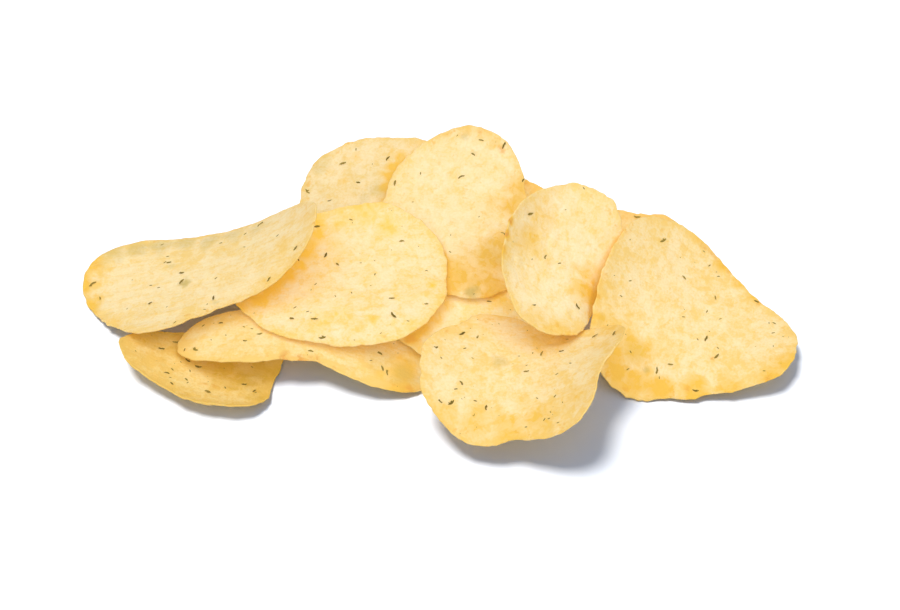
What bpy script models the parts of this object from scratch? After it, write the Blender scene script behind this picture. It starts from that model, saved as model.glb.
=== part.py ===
"""A loose heap of twelve thin potato crisps with flakes of dried herb, as it lies on a bare surface.

Each crisp is a bent disc with a soft, lobed outline. It is laid over the ones already there and lowered
until it meets them, so the heap holds together as a real one does.
"""

import math

import bmesh
import bpy
from mathutils import Euler, Matrix, Vector
from mathutils.bvhtree import BVHTree

for thing in list(bpy.data.objects):
    bpy.data.objects.remove(thing, do_unlink=True)

MM = 0.001

# What every crisp shares: its thickness, how much thinner the rim is, and the facets across it
THICK = 1.3 * MM
RIM_THINNING = 0.38
CELLS = 12
SHARP_EDGE = math.radians(35)

# The air left between a crisp and what it lies on, and the height it is lowered from
GAP = 0.3 * MM
HELD = 200 * MM

# The cut edge is uneven: waves round the rim, and their depth as a share of the crisp
RIM_WAVES = ((9, 0.006), (14, 0.004))

# A flick bends the rim up, or down where its rise is below zero, from this share of the way out
FLICK_FROM = 0.45

# A herb flake: longest and shortest, how wide for its length, how far it stands out of the skin
FLAKE_LONG = 3.0 * MM
FLAKE_SHORT = 1.6 * MM
FLAKE_SLIM = 0.36
FLAKE_PROUD = 0.3 * MM
FLAKE_SUNK = 0.3 * MM


# Shape of one crisp

class Crisp:
    """The form of a single slice, in its own frame: x along it, y across it, z out of its upper face."""

    def __init__(self, length, width, cup=(0, 0), twist=0, curl=(0, 0), sway=(0, 0), lobes=(), flicks=()):
        self.a = length * MM / 2
        self.b = width * MM / 2
        self.cup = cup
        self.twist = twist
        self.curl = curl
        self.sway = sway
        self.lobes = lobes
        self.flicks = flicks

    def reach(self, angle):
        """Middle to rim: an ellipse, a few soft lobes and the unevenness of a cut edge."""
        a, b = self.a, self.b
        ellipse = a * b / math.hypot(b * math.cos(angle), a * math.sin(angle))
        soft = sum(deep * math.cos(count * (angle - math.radians(toward))) for count, deep, toward in self.lobes)
        rough = sum(deep * math.sin(count * (angle + self.a / MM)) for count, deep in RIM_WAVES)
        return ellipse * (1 + soft + rough)

    def lift(self, x, y):
        """Height of the middle surface: cupped, twisted, curled at an end and flicked at the rim."""
        u, v = x / self.a, y / self.b
        high = self.cup[0] * u * u + self.cup[1] * v * v + self.twist * u * v
        high += self.curl[0] * u ** 3 + self.curl[1] * v ** 3
        high += self.sway[0] * u * u * v + self.sway[1] * u * v * v
        angle = math.atan2(y, x)
        share = math.hypot(x, y) / self.reach(angle)
        for toward, rise in self.flicks:
            outer = max(0.0, (share - FLICK_FROM) / (1 - FLICK_FROM))
            high += rise * outer ** 2 * max(0.0, math.cos(angle - math.radians(toward))) ** 4
        return high * MM

    def point(self, x, y):
        return Vector((x, y, self.lift(x, y)))

    def normal(self, x, y):
        step = 0.1 * MM
        along = self.point(x + step, y) - self.point(x - step, y)
        across = self.point(x, y + step) - self.point(x, y - step)
        return along.cross(across).normalized()

    def thickness(self, share):
        """A fried slice is thinner toward its rim."""
        return THICK * (1 - RIM_THINNING * share ** 3)

    def skin(self, share, angle, side):
        """A point on the upper (side 1) or lower (side -1) face."""
        far = share * self.reach(angle)
        x, y = far * math.cos(angle), far * math.sin(angle)
        return self.point(x, y) + self.normal(x, y) * (side * self.thickness(share) / 2)

    def mesh(self):
        """Both faces from one square grid bent into a disc, closed by a wall round the rim."""
        bm = bmesh.new()
        layers = []
        for side in (1, -1):
            rows = []
            for i in range(CELLS + 1):
                row = []
                for j in range(CELLS + 1):
                    share, angle = disc(2 * i / CELLS - 1, 2 * j / CELLS - 1)
                    row.append(bm.verts.new(self.skin(share, angle, side)))
                rows.append(row)
            layers.append(rows)
        top, bottom = layers
        for i in range(CELLS):
            for j in range(CELLS):
                bm.faces.new((top[i][j], top[i + 1][j], top[i + 1][j + 1], top[i][j + 1]))
                bm.faces.new((bottom[i][j], bottom[i][j + 1], bottom[i + 1][j + 1], bottom[i + 1][j]))
        ring = [(i, 0) for i in range(CELLS)]
        ring += [(CELLS, j) for j in range(CELLS)]
        ring += [(i, CELLS) for i in range(CELLS, 0, -1)]
        ring += [(0, j) for j in range(CELLS, 0, -1)]
        for (i, j), (k, m) in zip(ring, ring[1:] + ring[:1]):
            bm.faces.new((top[i][j], bottom[i][j], bottom[k][m], top[k][m]))
        bmesh.ops.triangulate(bm, faces=bm.faces[:])
        return bm


def disc(s, t):
    """A square's point (s, t), each from -1 to 1, as the share of the way to the rim and the direction."""
    if s == 0 and t == 0:
        return 0.0, 0.0
    if abs(s) > abs(t):
        share, angle = s, math.pi / 4 * t / s
    else:
        share, angle = t, math.pi / 2 - math.pi / 4 * s / t
    return abs(share), angle if share > 0 else angle + math.pi


# Herb flakes

def flake(form, x, y, turn, size):
    """A thin six-sided sliver half sunk in the upper face."""
    bm = bmesh.new()
    rings = []
    for level in (-FLAKE_SUNK, FLAKE_PROUD):
        ring = []
        for corner in range(6):
            angle = math.radians(60 * corner)
            slim = FLAKE_SLIM * (1.15 if corner in (1, 5) else 0.9)
            ring.append(bm.verts.new((size / 2 * math.cos(angle), size * slim / 2 * math.sin(angle), level)))
        rings.append(ring)
    bm.faces.new(rings[1])
    bm.faces.new(rings[0][::-1])
    for k in range(6):
        n = (k + 1) % 6
        bm.faces.new((rings[0][k], rings[0][n], rings[1][n], rings[1][k]))
    up = form.normal(x, y)
    share = math.hypot(x, y) / form.reach(math.atan2(y, x))
    foot = form.point(x, y) + up * form.thickness(share) / 2
    ahead = Vector((math.cos(math.radians(turn)), math.sin(math.radians(turn)), 0))
    ahead = (ahead - up * ahead.dot(up)).normalized()
    frame = Matrix((ahead, up.cross(ahead), up)).transposed().to_4x4()
    bm.transform(Matrix.Translation(foot) @ frame)
    return bm


def add_object(name, bm):
    mesh = bpy.data.meshes.new(name)
    bm.to_mesh(mesh)
    bm.free()
    thing = bpy.data.objects.new(name, mesh)
    bpy.context.scene.collection.objects.link(thing)
    return thing


def fuse_flakes(crisp, form, herbs):
    """Join the flakes to the crisp they lie on; the first in the list is the longest."""
    group = bpy.data.collections.new(crisp.name + "_flakes")
    for order, (along, across, turn) in enumerate(herbs):
        size = FLAKE_LONG + (FLAKE_SHORT - FLAKE_LONG) * order / max(1, len(herbs) - 1)
        sliver = add_object("flake", flake(form, along * form.a, across * form.b, turn, size))
        group.objects.link(sliver)
    join = crisp.modifiers.new("flakes", "BOOLEAN")
    join.operation = "UNION"
    join.operand_type = "COLLECTION"
    join.collection = group
    join.solver = "EXACT"
    ready = crisp.evaluated_get(bpy.context.evaluated_depsgraph_get())
    joined = bpy.data.meshes.new_from_object(ready)
    crisp.modifiers.clear()
    crisp.data = joined
    for sliver in list(group.objects):
        bpy.data.objects.remove(sliver, do_unlink=True)
    bpy.data.collections.remove(group)


# Laying a crisp on the heap

laid = {}


def samples(thing):
    """Corners, three points along each edge and the face middles of a mesh where it stands."""
    place = thing.matrix_world
    mesh = thing.data
    corners = [place @ v.co for v in mesh.vertices]
    ends = [(corners[e.vertices[0]], corners[e.vertices[1]]) for e in mesh.edges]
    along = [start.lerp(end, share) for start, end in ends for share in (0.25, 0.5, 0.75)]
    faces = [place @ p.center for p in mesh.polygons]
    return corners + along + faces


def tree(thing):
    place = thing.matrix_world
    corners = [place @ v.co for v in thing.data.vertices]
    return BVHTree.FromPolygons(corners, [tuple(p.vertices) for p in thing.data.polygons])


def settle(crisp, supports):
    """Lower a crisp until it touches the floor or is a hair above what it lies on."""
    crisp.location.z = HELD
    bpy.context.view_layer.update()
    falling = samples(crisp)
    fall = min(p.z for p in falling)
    above = tree(crisp)
    for support in supports:
        below = tree(support)
        for p in falling:
            hit = below.ray_cast(p, Vector((0, 0, -1)))[0]
            if hit:
                fall = min(fall, p.z - hit.z - GAP)
        for p in samples(support):
            hit = above.ray_cast(p, Vector((0, 0, 1)))[0]
            if hit:
                fall = min(fall, hit.z - p.z - GAP)
    crisp.location.z -= fall
    bpy.context.view_layer.update()


def lay(name, form, at, lean, tone, herbs, turn=0, on=()):
    """Make a crisp, fuse its herbs and set it on the heap: lean in degrees, then turned about the upright."""
    crisp = add_object(name, form.mesh())
    fuse_flakes(crisp, form, herbs)
    crisp.location = (at[0] * MM, at[1] * MM, 0)
    crisp.rotation_euler = Euler([math.radians(v) for v in (lean[0], lean[1], turn)])
    settle(crisp, [laid[other] for other in on])
    look = bpy.data.materials.new(name + "_fried_potato")
    look.use_nodes = True
    shader = look.node_tree.nodes["Principled BSDF"]
    shader.inputs["Base Color"].default_value = (*tone, 1)
    shader.inputs["Roughness"].default_value = 0.55
    shader.inputs["Metallic"].default_value = 0
    crisp.data.materials.clear()
    crisp.data.materials.append(look)
    crisp.data.shade_smooth()
    crisp.data.set_sharp_from_angle(angle=SHARP_EDGE)
    laid[name] = crisp


# Bottom layer

lay(
    "left_front_crisp",
    Crisp(44.5, 30, cup=(2, 2), twist=1.5, curl=(-1.5, -1), sway=(-1, 1.5),
          lobes=((3, 0.13, 53), (4, 0.03, -35), (5, 0.03, 34))),
    at=(-65, -23.5), lean=(-5, 3), turn=-8,
    herbs=((-0.15, 0, 0), (0.05, -0.65, -20), (-0.5, 0.5, 10), (-0.65, 0.25, 10), (-0.3, 0.1, -30),
           (-0.5, -0.35, 0), (0.45, -0.3, 0), (-0.4, -0.6, -40), (-0.25, -0.4, -40), (0.6, -0.45, 60)),
    tone=(0.86, 0.6, 0.18),
)

lay(
    "long_under_crisp",
    Crisp(65, 27.5, cup=(-5, -1), curl=(1.5, 0), sway=(2.5, 0),
          lobes=((3, 0.22, -26), (4, 0.04, 8), (5, 0.06, -23))),
    at=(-38, -15.5), lean=(-10, 5), turn=-9, on=("left_front_crisp",),
    herbs=((0.6, -0.2, -20), (0.65, -0.55, -60), (-0.9, -0.6, -30), (0.05, -0.6, 0), (0.7, -0.6, -70),
           (-0.4, -0.3, 20), (-0.5, -0.5, 0), (-0.75, 0, 10)),
    tone=(0.9, 0.66, 0.24),
)

lay(
    "back_under_crisp",
    Crisp(54.5, 37.5, cup=(0, 2.5), twist=-0.5, lobes=((3, 0.04, 17), (4, 0.02, 38))),
    at=(21, 22.5), lean=(4, 0), turn=-33,
    herbs=((0.1, 0.8, 40), (0.5, 0.7, 10)),
    tone=(0.86, 0.62, 0.2),
)

lay(
    "right_under_crisp",
    Crisp(49.5, 32, cup=(2, 0.5), twist=-2, curl=(0, 0.5), sway=(0.5, -1),
          lobes=((3, 0.04, -20), (4, 0.03, -3), (5, 0.02, 23))),
    at=(56.5, 12.5), lean=(2, 7), turn=-29, on=("back_under_crisp",),
    herbs=((-0.45, 0.75, 30), (0.1, 0.8, 0), (0.5, 0.65, 50)),
    tone=(0.86, 0.62, 0.2),
)

lay(
    "middle_under_crisp",
    Crisp(52, 44, cup=(-2.5, -3), lobes=((3, 0.02, 10),)),
    at=(5.5, -2), lean=(-1, 2), on=("long_under_crisp", "back_under_crisp", "right_under_crisp"),
    herbs=((0.05, 0, -10), (-0.3, -0.1, 70), (0.2, -0.1, 0)),
    tone=(0.82, 0.6, 0.22),
)

# Back of the heap

lay(
    "back_left_crisp",
    Crisp(48, 44, cup=(-1.5, 2), curl=(0, -0.5), sway=(1, 0), lobes=((3, 0.03, 40), (4, 0.02, -39))),
    at=(-20, 36), lean=(6, -7), turn=-11,
    on=("middle_under_crisp", "back_under_crisp", "long_under_crisp", "left_front_crisp"),
    herbs=((-0.9, 0.05, -40), (-0.55, 0.5, 20), (0, 0.6, 60), (-0.3, 0.2, -10), (-0.6, -0.1, 30)),
    tone=(0.84, 0.66, 0.3),
)

lay(
    "back_tall_crisp",
    Crisp(60.5, 44, cup=(3, -1.5), twist=-1.5, curl=(0.5, 1), sway=(-1, 0.5),
          lobes=((3, 0.05, -21), (4, 0.02, 32), (5, 0.02, -26)), flicks=((180, -1),)),
    at=(1.8, 25.5), lean=(0, -3), turn=89,
    on=("back_left_crisp", "middle_under_crisp", "back_under_crisp", "long_under_crisp", "right_under_crisp"),
    herbs=((0.8, -0.6, -20), (0.4, 0.8, -10), (-0.2, -0.6, 50), (0.45, -0.05, -60), (0, -0.7, -60),
           (0.85, -0.3, 80), (0.45, -0.85, -30), (0.7, -0.2, 50)),
    tone=(0.92, 0.7, 0.3),
)

# Right of the heap: each of these three lies over one neighbour and under the other

lay(
    "right_large_crisp",
    Crisp(57.5, 52.3, cup=(7.5, -2.5), twist=2, curl=(0, 1.5), sway=(2.5, -1),
          lobes=((3, 0.1, 21), (4, 0.01, 15)),
          flicks=((215, 2),)),
    at=(63.4, -9.6), lean=(-3, 14), turn=-43, on=("right_under_crisp", "back_under_crisp", "middle_under_crisp"),
    herbs=((-0.7, 0.5, 80), (0.3, 0, -70), (0.2, -0.65, -50), (0.5, -0.1, -90), (0.6, -0.55, 30),
           (0.25, -0.5, 40), (0.35, 0.8, 10), (-0.3, 0.4, 0), (0.05, 0.5, -40), (0.65, 0.65, 0), (0, -0.85, 80)),
    tone=(0.92, 0.68, 0.24),
)

lay(
    "front_crisp",
    Crisp(53.5, 43.7, cup=(8.5, -3), twist=-8.5, curl=(1.5, 0.5), sway=(0.5, 0.5),
          lobes=((4, 0.08, 26), (5, 0.06, 23))),
    at=(19, -34.4), lean=(-4, -6), turn=-1,
    on=("long_under_crisp", "middle_under_crisp", "right_large_crisp", "back_under_crisp", "right_under_crisp"),
    herbs=((-0.6, 0.55, 40), (0.95, 0.35, 80), (-0.7, -0.4, 40), (-0.85, 0.25, 20), (0.75, 0.5, 30),
           (0.2, 0.35, 70), (0.05, 0.05, 10), (-0.6, -0.15, -50), (-0.8, -0.4, -40), (0.4, 0.35, 0),
           (-0.35, -0.45, 80), (-0.45, 0.55, 70)),
    tone=(0.9, 0.66, 0.26),
)

lay(
    "upright_oval_crisp",
    Crisp(50.2, 32.3, cup=(4, 2), curl=(-1.5, 3), sway=(-2, 0.5), lobes=((3, 0.07, -36), (4, 0.02, 36)),
          flicks=((240, -1.5),)),
    at=(29, 0.9), lean=(21, -10), turn=70,
    on=("front_crisp", "middle_under_crisp", "back_under_crisp", "right_under_crisp", "back_tall_crisp",
        "long_under_crisp"),
    herbs=((0.3, 0.75, -50), (-0.45, -0.6, 50), (-0.05, 0.2, -10), (-0.7, 0.1, -60)),
    tone=(0.93, 0.7, 0.3),
)

# Top of the heap

lay(
    "middle_top_crisp",
    Crisp(61, 48.5, cup=(-1.5, 3.5), curl=(-0.5, 0.5), sway=(0, 0.5),
          lobes=((3, 0.06, 45), (3, -0.02, -87), (4, 0.02, -42)),
          flicks=((258, -1.6), (288, -3))),
    at=(-29, 1), lean=(-1, -2), turn=6,
    on=("long_under_crisp", "left_front_crisp", "middle_under_crisp", "back_left_crisp", "back_tall_crisp",
        "back_under_crisp", "front_crisp"),
    herbs=((0.4, -0.65, -60), (-0.25, -0.85, 0), (-0.2, 0.75, 0), (-0.15, 0.35, 60), (-0.3, -0.6, -10),
           (0.4, -0.4, 0), (-0.5, -0.55, -10), (0.55, 0.45, 0), (-0.05, 0.2, -50), (0.7, -0.5, 0)),
    tone=(0.93, 0.7, 0.28),
)

lay(
    "left_curled_crisp",
    Crisp(73, 37, cup=(4.5, -0.5), twist=-1.5, curl=(4.5, -1), sway=(3.5, -3.5),
          lobes=((3, 0.09, 7), (4, 0.04, -35), (5, 0.02, 13))),
    at=(-70.5, 4), lean=(-8, -15), turn=7,
    on=("left_front_crisp", "long_under_crisp", "middle_top_crisp", "back_left_crisp", "middle_under_crisp"),
    herbs=((0.55, 0.65, 40), (-0.1, -0.1, 50), (-0.8, 0.3, 20), (0.6, -0.65, 40), (0.85, -0.35, 30),
           (0.15, -0.65, 80), (-0.1, 0.1, -10), (-0.2, 0.4, 0), (-0.35, -0.4, 20), (-0.75, 0, 90)),
    tone=(0.9, 0.7, 0.32),
)

# Stand the heap with the middle of its base at the origin
corners = [crisp.matrix_world @ v.co for crisp in laid.values() for v in crisp.data.vertices]
low = [min(p[axis] for p in corners) for axis in range(3)]
high = [max(p[axis] for p in corners) for axis in range(3)]
for crisp in laid.values():
    crisp.location.x -= (low[0] + high[0]) / 2
    crisp.location.y -= (low[1] + high[1]) / 2
    crisp.location.z -= low[2]
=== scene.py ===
"""Looks of a loose heap of twelve potato crisps with dried herb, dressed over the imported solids."""

import math

import bmesh
import bpy
import numpy as np
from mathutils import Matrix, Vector
from mathutils.bvhtree import BVHTree


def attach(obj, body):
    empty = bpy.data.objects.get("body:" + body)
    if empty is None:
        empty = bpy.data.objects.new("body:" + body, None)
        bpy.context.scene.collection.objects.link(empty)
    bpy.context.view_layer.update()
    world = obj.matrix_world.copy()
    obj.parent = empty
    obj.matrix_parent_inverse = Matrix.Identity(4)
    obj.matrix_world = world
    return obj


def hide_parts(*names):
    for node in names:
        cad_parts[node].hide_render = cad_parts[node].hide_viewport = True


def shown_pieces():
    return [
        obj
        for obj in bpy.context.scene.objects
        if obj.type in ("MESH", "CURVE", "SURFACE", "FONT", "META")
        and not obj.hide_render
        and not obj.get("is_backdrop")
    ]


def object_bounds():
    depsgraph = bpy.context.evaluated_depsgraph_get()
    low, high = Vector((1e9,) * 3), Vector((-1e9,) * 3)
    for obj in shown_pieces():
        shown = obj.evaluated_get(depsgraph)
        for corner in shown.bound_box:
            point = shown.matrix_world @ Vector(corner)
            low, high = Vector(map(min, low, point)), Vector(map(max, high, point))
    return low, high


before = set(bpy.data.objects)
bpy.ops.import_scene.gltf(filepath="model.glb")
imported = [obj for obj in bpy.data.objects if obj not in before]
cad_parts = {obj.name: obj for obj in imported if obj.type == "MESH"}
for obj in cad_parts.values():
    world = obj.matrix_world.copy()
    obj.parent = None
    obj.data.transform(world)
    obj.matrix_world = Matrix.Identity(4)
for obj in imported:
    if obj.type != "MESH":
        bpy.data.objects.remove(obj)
cad_low, cad_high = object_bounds()


# Camera
# It looks down on the heap from the front, from far enough off for the flat view of a long lens.

MM = 0.001
CAMERA_AIM = Vector((4.1 * MM, 0.1 * MM, 0))
CAMERA_DISTANCE = 0.7
CAMERA_RISE = math.radians(50)
SENSOR_WIDTH = 36
LENS_LENGTH = 100.8
SEEN_FROM = 0.05
SEEN_TO = 20

back = Vector((0, -math.cos(CAMERA_RISE), math.sin(CAMERA_RISE)))
camera = bpy.data.objects.new("camera", bpy.data.cameras.new("camera"))
bpy.context.scene.collection.objects.link(camera)
camera.data.sensor_width = SENSOR_WIDTH
camera.data.lens = LENS_LENGTH
camera.data.clip_start = SEEN_FROM
camera.data.clip_end = SEEN_TO
camera.location = CAMERA_AIM + back * CAMERA_DISTANCE
camera.rotation_euler = (-back).to_track_quat("-Z", "Y").to_euler()
bpy.context.scene.camera = camera


# Left front crisp
# A slice of potato fried in oil, the lowest at the left: flat on the surface, its right half in the shade
# of the long crisp, painted there as a darker gold. Its section makes what all twelve share: the slice's
# form, skin, finish and herbs.

WELD = 2e-6
SHARP_TURN = math.radians(50)
OUTLINE_WAVES = 14
FLAKE_FACING = 0.6
FLAKE_LEAST_AREA = 0.2

GRID = 120
TURN_STEP = 0.01
RIM_CROWDING = 1.3
RIM_ROUND = 0.3
RIM_TAPER = 2.6
RIM_THINNED = 0.45
RIM_WORN = 0.18
NIBBLES = ((6.0, 0.26), (2.4, 0.27), (1.1, 0.18))

LATTICE = 64
TINY = 1e-12
BLISTER_COUNT = 9
BLISTER_ACROSS = 3.2
BLISTER_HIGH = 0.22
BLISTERS_OUT_TO = 0.85
BLISTER_SIZES = (0.5, 1.2)
BLISTER_STRETCHES = (0.7, 1.3)
BLISTER_UNEVEN = 0.25
SWELLS = ((7, 0.11), (1.7, 0.06))
RIDGE_STRETCH = 7
RIDGE_WIDTH = 0.9
SPOT_UNEVEN = 0.4
SPOT_FADES_AT = 1.4

CLEAR = 0.12
REACH = 1.5

# How much other crisps shade each crisp's upper skin; the skin paints this as shade in its colour.
SHELTER_STEP = 3
SHELTER_RAYS = 18
SHELTER_REACH = 14
SHELTER_LIFT = 0.4
SHELTER_SEED = 5

UNDER_PATTERN_SHIFT = 9
PATTERN_SHIFT_PER_SEED = 37.0

HERB_COLUMNS = 9
HERB_ROWS = 3
HERB_THICK = 0.07
HERB_LIFT = 0.1
HERB_CURL = 0.09
HERB_BOW = 0.14
HERB_STALK = 0.03
SCRAP_WIDTH = 0.3

SPECK_LONGEST = 1.3
SPECK_SMALL = (0.2, 0.1, 0.08)
SPECK_LARGE = (1.0, 0.32, 0.12)
SPECK_RARELY_LARGE = 1.3
SPECKS_FROM_RIM = 0.8
CLUSTERS_PER_METRE = 90.0


def wander(x, y, size, seed):
    """Smooth seeded unevenness from -1 to 1 whose bumps are about this size."""
    lattice = np.random.default_rng(seed).uniform(-1, 1, (LATTICE, LATTICE))
    column, row = x / size + LATTICE // 2, y / size + LATTICE // 2
    i, j = np.floor(column).astype(int), np.floor(row).astype(int)
    s, t = column - i, row - j
    s, t = s * s * (3 - 2 * s), t * t * (3 - 2 * t)
    here, right = i % LATTICE, (i + 1) % LATTICE
    low, high = j % LATTICE, (j + 1) % LATTICE
    near = lattice[here, low] * (1 - s) + lattice[right, low] * s
    far = lattice[here, high] * (1 - s) + lattice[right, high] * s
    return near * (1 - t) + far * t


def bend(distance):
    """The bending of a thin plate at this distance from a point that holds it."""
    return np.where(distance > 0, distance**2 * np.log(np.maximum(distance, TINY)), 0)


def plate_through(points):
    """The height, anywhere, of a thin plate bent to pass through these points."""
    flat, high = points[:, :2], points[:, 2]
    count = len(points)
    held = bend(np.linalg.norm(flat[:, None] - flat[None], axis=2))
    level = np.column_stack([np.ones(count), flat])
    system = np.block([[held, level], [level.T, np.zeros((3, 3))]])
    weights = np.linalg.solve(system, np.concatenate([high, np.zeros(3)]))

    def height(x, y):
        place = np.column_stack([x.ravel(), y.ravel()])
        pull = bend(np.linalg.norm(place[:, None] - flat[None], axis=2)) @ weights[:count]
        rest = np.column_stack([np.ones(len(place)), place]) @ weights[count:]
        return (pull + rest).reshape(x.shape)

    return height


def face_regions(bm):
    """Faces grouped into the smooth surfaces that sharp edges part."""
    waiting = dict.fromkeys(bm.faces)
    regions = []
    while waiting:
        seed = waiting.popitem()[0]
        region, edge_of = [seed], [seed]
        while edge_of:
            for edge in edge_of.pop().edges:
                for face in edge.link_faces:
                    if face in waiting and edge.calc_face_angle(math.pi) < SHARP_TURN:
                        waiting.pop(face)
                        region.append(face)
                        edge_of.append(face)
        regions.append(region)
    return regions


class Slice:
    """One crisp read from its solid, in millimetres in its own frame: x along it, z out of its upper skin."""

    def __init__(self, name):
        self.name = name
        bm = bmesh.new()
        bm.from_mesh(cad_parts[name].data)
        bmesh.ops.remove_doubles(bm, verts=bm.verts, dist=WELD)
        bm.normal_update()
        world = np.array([v.co for v in bm.verts]) / MM
        self.centre = world.mean(0)
        axes = np.linalg.svd(world - self.centre, full_matrices=False)[2]
        along = axes[0] * (1 if axes[0][0] > 0 else -1)
        up = axes[2] * (1 if axes[2][2] > 0 else -1)
        self.axes = np.array([along, np.cross(up, along), up])
        regions = face_regions(bm)
        area = [sum(f.calc_area() for f in region) for region in regions]
        facing = [sum((f.normal * f.calc_area() for f in region), Vector()).dot(up) for region in regions]
        top = max(range(len(regions)), key=lambda k: facing[k])
        bottom = min(range(len(regions)), key=lambda k: facing[k])
        region_of = {face: k for k, region in enumerate(regions) for face in region}
        wall = self.wall_of(bm, region_of, top, bottom)
        skins = []
        for skin in (top, bottom):
            inside = dict.fromkeys(v for f in regions[skin] for v in f.verts)
            whole = [v for v in inside if {region_of[f] for f in v.link_faces} <= {skin} | wall]
            skins.append(self.local(np.array([v.co for v in whole]) / MM))
        self.upper = plate_through(skins[0])
        self.lower = plate_through(skins[1])
        rim = [v.co for v in bm.verts if {region_of[f] for f in v.link_faces} & wall]
        self.outline = self.outline_through(self.local(np.array(rim) / MM))
        self.herbs = []
        for k, region in enumerate(regions):
            apart = k not in wall | {top, bottom}
            upward = facing[k] > FLAKE_FACING * area[k] and area[k] > FLAKE_LEAST_AREA * MM * MM
            if apart and upward:
                corners = dict.fromkeys(v for f in region for v in f.verts)
                self.herbs.append(self.herb_at(self.local(np.array([v.co for v in corners]) / MM)))
        bm.free()

    def wall_of(self, bm, region_of, top, bottom):
        """The regions that run round the rim, between the two skins."""
        touching = {}
        for edge in bm.edges:
            pair = {region_of[f] for f in edge.link_faces}
            for skin in (top, bottom):
                if skin in pair:
                    for other in pair - {skin}:
                        touching.setdefault(other, set()).add(skin)
        return {k for k, skins in touching.items() if len(skins) == 2}

    def local(self, world):
        """Places of the heap, in millimetres, in the crisp's own frame."""
        return (world - self.centre) @ self.axes.T

    def world(self, local):
        """Places in the crisp's own frame back in the heap, in millimetres."""
        return local @ self.axes + self.centre

    def outline_through(self, rim):
        """How far the rim is from the middle in any direction, from the corners of its wall."""
        angle = np.arctan2(rim[:, 1], rim[:, 0])
        far = np.hypot(rim[:, 0], rim[:, 1])
        shape = np.linalg.lstsq(self.waves(angle), far, rcond=None)[0]
        return lambda direction: (self.waves(direction.ravel()) @ shape).reshape(direction.shape)

    def waves(self, angle):
        """Waves round the outline, from none to the finest, in each direction."""
        turns = [np.ones_like(angle)]
        for count in range(1, OUTLINE_WAVES + 1):
            turns += [np.cos(count * angle), np.sin(count * angle)]
        return np.column_stack(turns)

    def herb_at(self, corners):
        """Middle, direction, length and width of a fused flake, from its upper corners."""
        middle = corners.mean(0)
        away = corners - middle
        tip = away[np.argmax(np.linalg.norm(away, axis=1))]
        ahead = tip / np.linalg.norm(tip)
        side = np.cross((0, 0, 1), ahead)
        return middle, ahead, np.ptp(away @ ahead), np.ptp(away @ side)


def disc_grid():
    """Shares of the way to the rim, and directions, for a square grid bent into a disc finer at its rim."""
    line = np.linspace(-1, 1, GRID + 1)
    s, t = np.meshgrid(line, line, indexing="ij")
    wide = np.abs(s) > np.abs(t)
    share = np.where(wide, np.abs(s), np.abs(t))
    by_s = np.where(s < 0, np.pi, 0) + np.pi / 4 * t / np.where(s == 0, 1, s)
    by_t = np.where(t < 0, np.pi, 0) + np.pi / 2 - np.pi / 4 * s / np.where(t == 0, 1, t)
    return 1 - (1 - share) ** RIM_CROWDING, np.where(wide, by_s, by_t)


def nibbles(angle, far, seed):
    """How much of the rim is missing: a fried edge is uneven, with small bites out of it."""
    lost = RIM_WORN
    for order, (size, deep) in enumerate(NIBBLES):
        lost = lost + deep * wander(np.cos(angle) * far, np.sin(angle) * far, size, seed + order)
    return lost


def bubbles(x, y, seed):
    """Soft domes that steam raised while the slice fried."""
    width, depth = np.abs(x).max(), np.abs(y).max()
    rng = np.random.default_rng(seed)
    relief = np.zeros_like(x)
    for _ in range(BLISTER_COUNT):
        angle, share = rng.uniform(0, 2 * np.pi), math.sqrt(rng.uniform(0, BLISTERS_OUT_TO))
        at_x, at_y = share * math.cos(angle) * width, share * math.sin(angle) * depth
        across = BLISTER_ACROSS * rng.uniform(*BLISTER_SIZES)
        stretch = rng.uniform(*BLISTER_STRETCHES)
        away = np.hypot((x - at_x) * stretch, (y - at_y) / stretch) / across
        away = away * (1 + BLISTER_UNEVEN * wander(x, y, across, seed + 7))
        high = BLISTER_HIGH * rng.uniform(0.5, 1)
        relief = np.maximum(relief, high * np.clip(1 - away**2, 0, 1) ** 1.5)
    return relief


def painted(x, y, marks, seed):
    """A mask of soft-edged spots, each as (along, across, radius, strength) in millimetres."""
    mask = np.zeros_like(x)
    for along, across, radius, strength in marks:
        away = np.hypot(x - along, y - across) / radius
        away = away * (1 + SPOT_UNEVEN * wander(x, y, radius * 0.8, seed))
        mask = np.maximum(mask, strength * np.clip(SPOT_FADES_AT - away, 0, 1))
    return mask


def others_tree(name):
    """The surfaces of every other crisp, to keep relief clear of them."""
    corners, faces = [], []
    for other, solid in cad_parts.items():
        if other != name:
            faces += [[len(corners) + v for v in p.vertices] for p in solid.data.polygons]
            corners += [v.co.copy() for v in solid.data.vertices]
    return BVHTree.FromPolygons(corners, faces)


def room_beside(points, tree):
    """Free distance, in millimetres, from each point to the nearest other crisp."""
    room = []
    for p in points:
        distance = tree.find_nearest(Vector(p * MM), REACH * MM)[3]
        room.append(REACH if distance is None else distance / MM)
    return np.array(room)


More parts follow.
